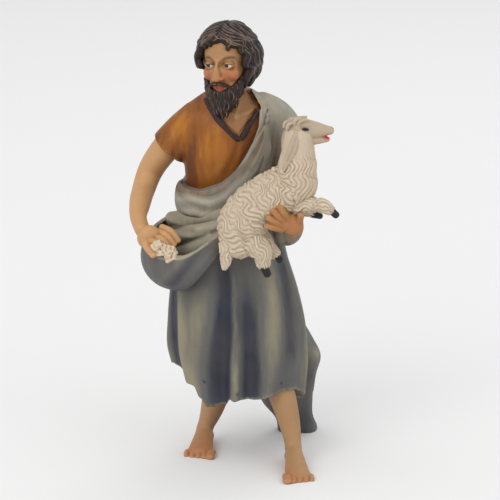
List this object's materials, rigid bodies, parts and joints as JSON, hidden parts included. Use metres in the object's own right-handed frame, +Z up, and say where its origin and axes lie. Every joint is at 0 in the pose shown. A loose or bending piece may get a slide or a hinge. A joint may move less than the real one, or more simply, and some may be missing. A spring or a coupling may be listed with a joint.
{
  "type": "nativity shepherd figurine",
  "caption": "Cast resin figurine of a bearded, barefoot shepherd in a draped robe, a lamb on one arm and the other hand in a pouch of cloth.",
  "frame": {"origin": "on the ground, in the middle of the figure's bounding box", "axes": "+Z up, the figure faces -Y and its left hand is at +X"},
  "size_m": [0.0562, 0.0483, 0.1204],
  "materials": {
    "painted_resin": "hand-painted cast resin, satin"
  },
  "bodies": {
    "root": {"shepherd_figurine": "painted_resin"}
  },
  "joints": []
}
